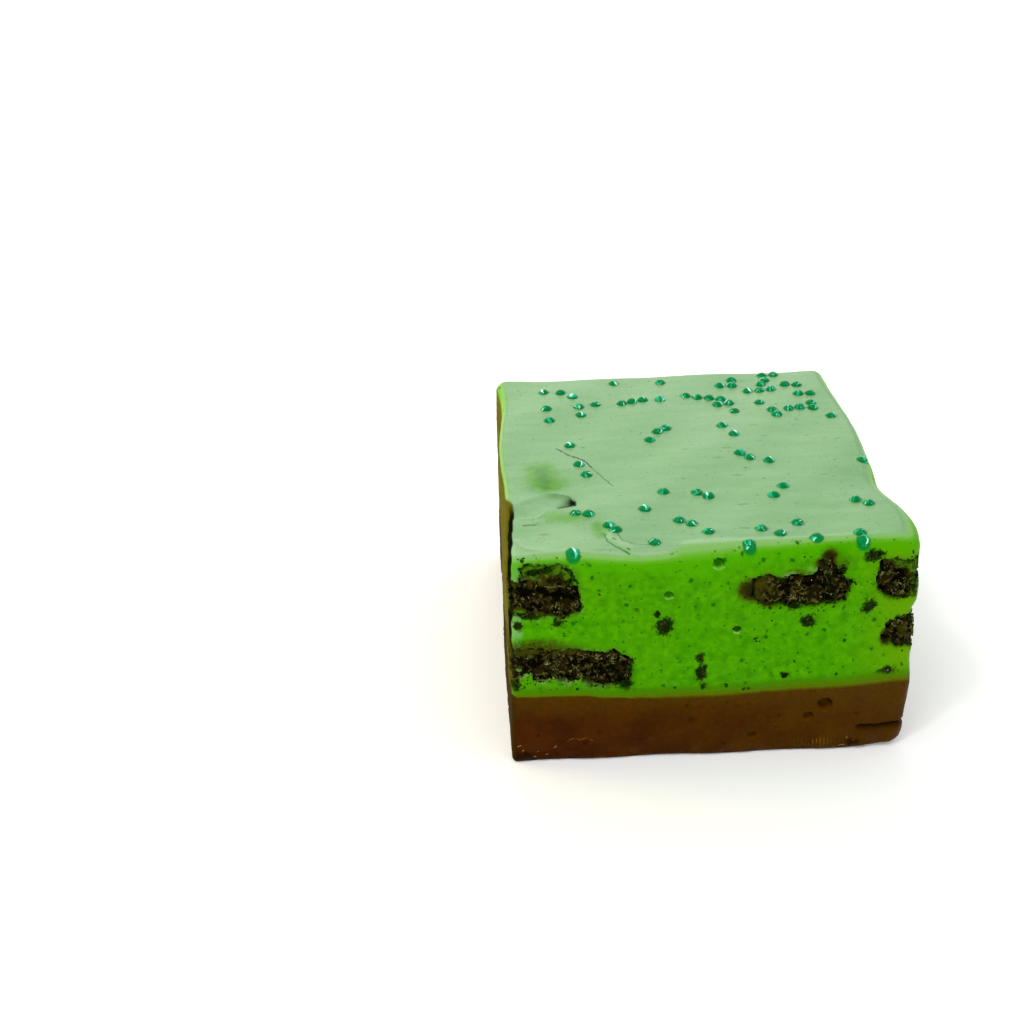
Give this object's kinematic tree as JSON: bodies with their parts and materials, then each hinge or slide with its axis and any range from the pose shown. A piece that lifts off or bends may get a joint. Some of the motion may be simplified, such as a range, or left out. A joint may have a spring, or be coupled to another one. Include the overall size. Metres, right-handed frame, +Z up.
{
  "type": "cookies and cream fudge",
  "caption": "Cut block of cookies and cream fudge: mint green layer with dark cookie pieces on a chocolate layer, small sugar pearls on top.",
  "frame": {"origin": "centre of the underside", "axes": "+X to the right along the cut front face, +Y from the front face to the back, +Z up through the chocolate layer to the mint layer"},
  "size_m": [0.052, 0.0588, 0.0311],
  "materials": {
    "mint_fudge": "smooth, slightly moist mint green fudge with a soft sheen, paler and glossier on top",
    "chocolate_fudge": "dense brown chocolate fudge, cut matt with fine crumbs",
    "cookie": "near-black baked cookie, broken and crumbly, matt",
    "sugar_pearl": "pearly teal sugar pearls with a soft gloss"
  },
  "bodies": {
    "root": {"chocolate_layer": "chocolate_fudge", "mint_layer": "mint_fudge", "cookie_front_left_high": "cookie", "cookie_front_left_low": "cookie", "cookie_front_right": "cookie", "cookie_corner_high": "cookie", "cookie_corner_low": "cookie", "cookie_right_middle": "cookie", "cookie_back_high": "cookie", "cookie_back_low": "cookie", "cookie_left_middle": "cookie"}
  },
  "joints": []
}
